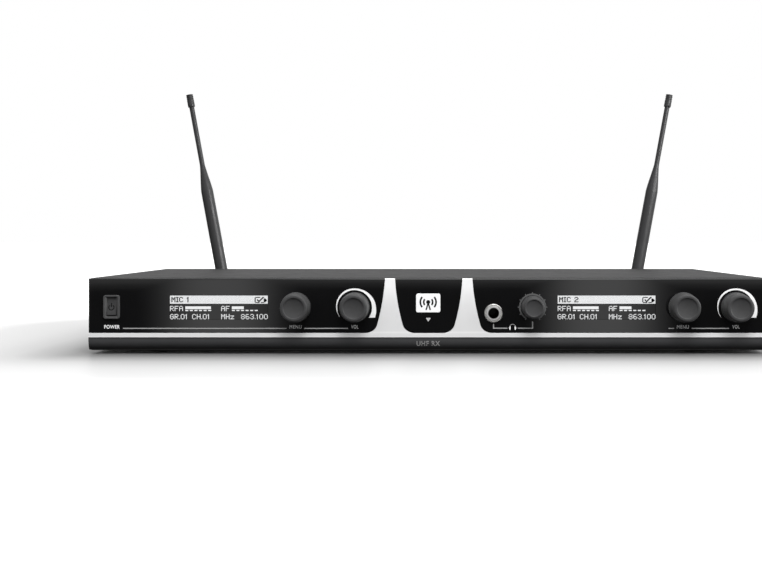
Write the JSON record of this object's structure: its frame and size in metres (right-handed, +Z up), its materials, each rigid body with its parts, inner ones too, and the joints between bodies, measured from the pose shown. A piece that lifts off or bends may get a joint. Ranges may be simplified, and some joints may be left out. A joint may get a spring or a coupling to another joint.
{
  "type": "wireless receiver unit",
  "caption": "Low wide rack-style dual wireless microphone receiver with tilting rear antennas, turning and pushing front knobs, displays and a rocker power switch.",
  "frame": {"origin": "on the surface the feet stand on, at the centre of the whole object's bounding box seen from above", "axes": "+X to the right along the width, seen from the front; +Y from the front panel to the rear; +Z up"},
  "size_m": [0.42, 0.2486, 0.1879],
  "materials": {
    "zinc_steel": "dark powder-coated sheet steel",
    "powder_coat": "fine dark grey powder coat",
    "bezel_plastic": "satin dark grey moulding",
    "silver_trim": "fine silver paint",
    "gloss_black": "high gloss black",
    "badge_white": "satin white",
    "foot_rubber": "matt black rubber",
    "black_screws": "black zinc",
    "zinc_screws": "zinc plated",
    "brass_hardware": "turned brass",
    "circuit_board": "green solder mask",
    "tinned_steel": "tinned sheet",
    "chip_plastic": "moulded epoxy",
    "display_glass": "glossy dark display cover",
    "module_plastic": "black moulding",
    "switch_plastic": "satin black nylon",
    "control_metal": "plated steel",
    "nickel_hardware": "nickel plated",
    "nickel_jack": "nickel plated",
    "connector_black": "black glass-filled nylon",
    "contact_silver": "silver plated",
    "inlet_plastic": "black moulding",
    "cable_grey": "grey ribbon",
    "cable_black": "black coax",
    "antenna_plastic": "satin black moulding",
    "knob_plastic": "soft-touch dark grey"
  },
  "bodies": {
    "chassis": {"chassis_tray": "zinc_steel", "front_wall": "zinc_steel", "rear_panel": "zinc_steel", "top_cover": "powder_coat", "front_bezel": "bezel_plastic", "trim_plate": "silver_trim", "window_left": "gloss_black", "window_right": "gloss_black", "centre_panel": "gloss_black", "badge_plate": "badge_white", "rubber_feet": "foot_rubber", "cover_screws": "black_screws", "panel_screws": "black_screws", "board_screws": "zinc_screws", "board_standoffs": "brass_hardware", "main_board": "circuit_board", "rf_shields": "tinned_steel", "board_chips": "chip_plastic", "front_board": "circuit_board", "display_glasses": "display_glass", "display_modules": "module_plastic", "power_switch_body": "switch_plastic", "control_bodies": "control_metal", "control_nuts": "nickel_hardware", "phones_jack": "nickel_jack", "output_jacks": "nickel_jack", "jack_nuts": "nickel_hardware", "xlr_sockets": "connector_black", "xlr_contacts": "contact_silver", "dc_inlet": "inlet_plastic", "cable_hook": "inlet_plastic", "antenna_sockets": "nickel_jack", "level_switch_bodies": "module_plastic", "ribbon_cable": "cable_grey", "rf_pigtails": "cable_black"},
    "rocker": {"power_rocker": "switch_plastic"},
    "menu_plunger_left": {"menu_plunger_left": "chip_plastic"},
    "menu_control_left": {"menu_shaft_left": "control_metal", "menu_knob_left": "knob_plastic"},
    "volume_control_left": {"volume_shaft_left": "control_metal", "volume_knob_left": "knob_plastic"},
    "collar_left": {"antenna_collar_left": "nickel_hardware"},
    "antenna_swivel_left": {"antenna_base_left": "antenna_plastic", "antenna_pin_left": "nickel_hardware"},
    "antenna_arm_left": {"antenna_whip_left": "antenna_plastic", "antenna_tip_left": "antenna_plastic"},
    "level_left": {"level_slider_left": "inlet_plastic"},
    "menu_plunger_right": {"menu_plunger_right": "chip_plastic"},
    "menu_control_right": {"menu_shaft_right": "control_metal", "menu_knob_right": "knob_plastic"},
    "volume_control_right": {"volume_shaft_right": "control_metal", "volume_knob_right": "knob_plastic"},
    "collar_right": {"antenna_collar_right": "nickel_hardware"},
    "antenna_swivel_right": {"antenna_base_right": "antenna_plastic", "antenna_pin_right": "nickel_hardware"},
    "antenna_arm_right": {"antenna_whip_right": "antenna_plastic", "antenna_tip_right": "antenna_plastic"},
    "level_right": {"level_slider_right": "inlet_plastic"},
    "phones_control": {"phones_shaft": "control_metal", "phones_knob": "knob_plastic"}
  },
  "joints": [
    {"name": "power_rock", "type": "hinge", "parent": "chassis", "child": "rocker", "pos_m": [-0.1955, -0.1103, 0.0292], "axis": [1, 0, 0], "range_deg": [0, 18]},
    {"name": "menu_push_left", "type": "slide", "parent": "chassis", "child": "menu_plunger_left", "axis": [0, 1, 0], "range_m": [0, 0.0005], "stiffness_N_per_m": 1200, "springref_m": -0.0008},
    {"name": "menu_turn_left", "type": "hinge", "parent": "menu_plunger_left", "child": "menu_control_left", "pos_m": [-0.082, -0.1113, 0.029], "axis": [0, 1, 0], "continuous": true},
    {"name": "volume_turn_left", "type": "hinge", "parent": "chassis", "child": "volume_control_left", "pos_m": [-0.0457, -0.1113, 0.029], "axis": [0, 1, 0], "range_deg": [-150, 150]},
    {"name": "menu_push_right", "type": "slide", "parent": "chassis", "child": "menu_plunger_right", "axis": [0, 1, 0], "range_m": [0, 0.0005], "stiffness_N_per_m": 1200, "springref_m": -0.0008},
    {"name": "menu_turn_right", "type": "hinge", "parent": "menu_plunger_right", "child": "menu_control_right", "pos_m": [0.157, -0.1113, 0.029], "axis": [0, 1, 0], "continuous": true},
    {"name": "volume_turn_right", "type": "hinge", "parent": "chassis", "child": "volume_control_right", "pos_m": [0.1895, -0.1113, 0.029], "axis": [0, 1, 0], "range_deg": [-150, 150]},
    {"name": "phones_turn", "type": "hinge", "parent": "chassis", "child": "phones_control", "pos_m": [0.0641, -0.1113, 0.0291], "axis": [0, 1, 0], "range_deg": [-150, 150]},
    {"name": "collar_turn_left", "type": "hinge", "parent": "chassis", "child": "collar_left", "pos_m": [-0.1644, 0.1187, 0.024], "axis": [0, 1, 0], "range_deg": [0, 40]},
    {"name": "antenna_swivel_left", "type": "hinge", "parent": "chassis", "child": "antenna_swivel_left", "pos_m": [-0.1644, 0.1187, 0.024], "axis": [0, -1, 0], "range_deg": [-70, 78]},
    {"name": "antenna_tilt_left", "type": "hinge", "parent": "antenna_swivel_left", "child": "antenna_arm_left", "pos_m": [-0.1644, 0.1187, 0.024], "axis": [-0.9836, 0, -0.1805], "range_deg": [0, 90]},
    {"name": "level_slide_left", "type": "slide", "parent": "chassis", "child": "level_left", "axis": [1, 0, 0], "range_m": [0, 0.0026]},
    {"name": "collar_turn_right", "type": "hinge", "parent": "chassis", "child": "collar_right", "pos_m": [0.1644, 0.1187, 0.024], "axis": [0, 1, 0], "range_deg": [0, 40]},
    {"name": "antenna_swivel_right", "type": "hinge", "parent": "chassis", "child": "antenna_swivel_right", "pos_m": [0.1644, 0.1187, 0.024], "axis": [0, 1, 0], "range_deg": [-70, 78]},
    {"name": "antenna_tilt_right", "type": "hinge", "parent": "antenna_swivel_right", "child": "antenna_arm_right", "pos_m": [0.1644, 0.1187, 0.024], "axis": [-0.9836, 0, 0.1805], "range_deg": [0, 90]},
    {"name": "level_slide_right", "type": "slide", "parent": "chassis", "child": "level_right", "axis": [1, 0, 0], "range_m": [0, 0.0026]}
  ]
}
